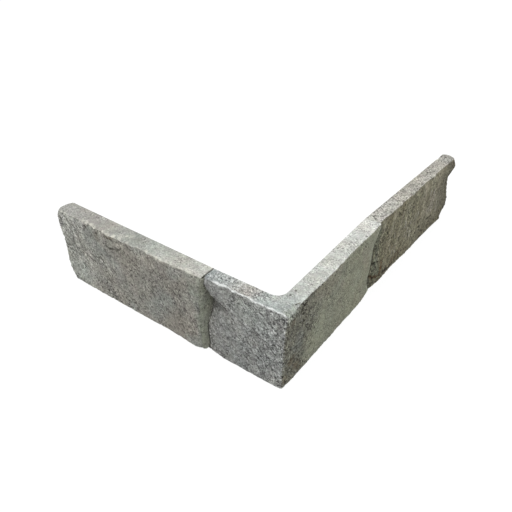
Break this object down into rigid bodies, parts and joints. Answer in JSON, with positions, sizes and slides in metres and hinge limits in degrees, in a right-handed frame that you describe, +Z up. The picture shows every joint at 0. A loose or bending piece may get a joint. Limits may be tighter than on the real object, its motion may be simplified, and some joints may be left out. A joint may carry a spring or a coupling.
{
  "type": "travertine cladding corner",
  "caption": "Split-face travertine cladding strips bonded end to end into an L that covers one course of a wall's outside corner.",
  "frame": {"origin": "on the bed plane, where the back planes of the corner stone's two legs meet: the foot of the wall's arris", "axes": "+Z up; the short leg and its straight stone run along -X with the split face towards -Y; the long leg and its straight stone run along +Y with the split face towards +X"},
  "size_m": [0.3434, 0.4377, 0.1],
  "materials": {
    "travertine_corner": "split face, sawn edges",
    "travertine_left": "split face, sawn edges",
    "travertine_right": "split face, sawn edges"
  },
  "bodies": {
    "root": {"corner_stone": "travertine_corner", "left_stone": "travertine_left", "right_stone": "travertine_right"}
  },
  "joints": []
}
